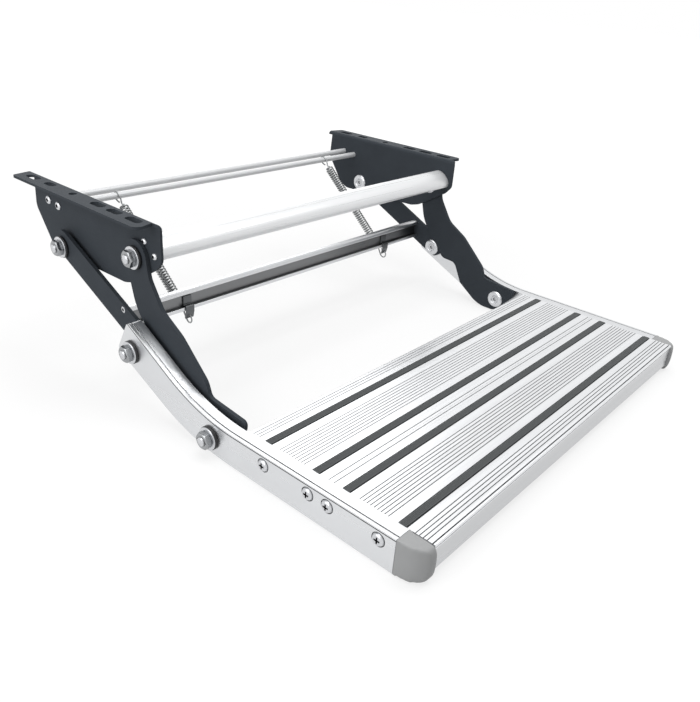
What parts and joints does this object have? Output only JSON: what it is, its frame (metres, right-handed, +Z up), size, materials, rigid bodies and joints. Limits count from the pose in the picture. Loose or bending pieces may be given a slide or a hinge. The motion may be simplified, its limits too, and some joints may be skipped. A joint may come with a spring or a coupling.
{
  "type": "folding entry step for a caravan",
  "caption": "Fold-down caravan entry step: two angle brackets, a four-bar linkage with springs on each side, and a grooved aluminium tread.",
  "frame": {"origin": "midway between the two round locating holes of the brackets, on the top face of their flanges", "axes": "+X across the step towards its right-hand bracket as seen from behind, +Y under the vehicle away from the user, +Z up"},
  "size_m": [0.6056, 0.6285, 0.208],
  "materials": {
    "powder_coat": "satin dark grey powder coat",
    "bare_aluminium": "extruded, satin",
    "rod_steel": "drawn bright bar",
    "zinc_steel": "zinc plated",
    "black_nylon": "moulded black nylon",
    "clip_steel": "dark coated strap",
    "spring_steel": "plated spring wire",
    "grip_rubber": "ribbed dark grey insert",
    "cap_plastic": "moulded grey plastic"
  },
  "bodies": {
    "brackets": {"bracket_left": "powder_coat", "bracket_right": "powder_coat", "cross_tube": "bare_aluminium", "rear_tie_rod": "rod_steel", "front_tie_rod": "rod_steel", "tube_screws": "zinc_steel", "rod_screws": "zinc_steel", "rear_pivot_bolts": "zinc_steel", "rear_pivot_black_washers": "black_nylon", "rear_pivot_steel_washers": "zinc_steel", "rear_pivot_nuts": "zinc_steel", "rear_pivot_spacers": "black_nylon", "front_pivot_bolts": "zinc_steel", "front_pivot_black_washers": "black_nylon", "front_pivot_steel_washers": "zinc_steel", "front_pivot_nuts": "zinc_steel"},
    "front_arms": {"front_arm_left": "powder_coat", "front_arm_right": "powder_coat"},
    "rear_arms": {"rear_arm_left": "powder_coat", "rear_arm_right": "powder_coat", "cross_bar": "bare_aluminium", "spring_clip_left": "clip_steel", "spring_clip_right": "clip_steel", "bar_screws": "zinc_steel", "rear_arm_studs": "zinc_steel"},
    "tread": {"side_rail_left": "bare_aluminium", "side_rail_right": "bare_aluminium", "rear_plank": "bare_aluminium", "front_plank": "bare_aluminium", "grip_strip_1": "grip_rubber", "grip_strip_2": "grip_rubber", "grip_strip_3": "grip_rubber", "grip_strip_4": "grip_rubber", "end_cap_left": "cap_plastic", "end_cap_right": "cap_plastic", "tread_screws": "zinc_steel", "tread_pivot_bolts": "zinc_steel", "tread_pivot_black_washers": "black_nylon", "tread_pivot_steel_washers": "zinc_steel", "tread_pivot_nuts": "zinc_steel", "tread_pivot_spacers": "black_nylon", "rail_pivot_bolts": "zinc_steel", "rail_pivot_black_washers": "black_nylon", "rail_pivot_steel_washers": "zinc_steel", "rail_pivot_nuts": "zinc_steel"},
    "springs": {"spring_left": "spring_steel", "spring_right": "spring_steel"}
  },
  "joints": [
    {"name": "front_arm_fold", "type": "hinge", "parent": "brackets", "child": "front_arms", "pos_m": [0, -0.1043, -0.044], "axis": [1, 0, 0], "range_deg": [0, 105.28]},
    {"name": "rear_arm_fold", "type": "hinge", "parent": "brackets", "child": "rear_arms", "pos_m": [0, 0.0362, -0.071], "axis": [1, 0, 0], "range_deg": [0, 145.5]},
    {"name": "tread_level", "type": "hinge", "parent": "front_arms", "child": "tread", "pos_m": [0, -0.2488, -0.1893], "axis": [1, 0, 0], "range_deg": [-105.28, 0]},
    {"name": "spring_swing", "type": "hinge", "parent": "brackets", "child": "springs", "pos_m": [0, 0.0541, -0.0283], "axis": [1, 0, 0], "range_deg": [0, 118], "deforming": ["spring_left", "spring_right"]}
  ],
  "couplings": [
    {"joint": "rear_arm_fold", "follows": "front_arm_fold", "ratio": 1.3815},
    {"joint": "tread_level", "follows": "front_arm_fold", "ratio": -1},
    {"joint": "spring_swing", "follows": "front_arm_fold", "ratio": 1.1205}
  ]
}
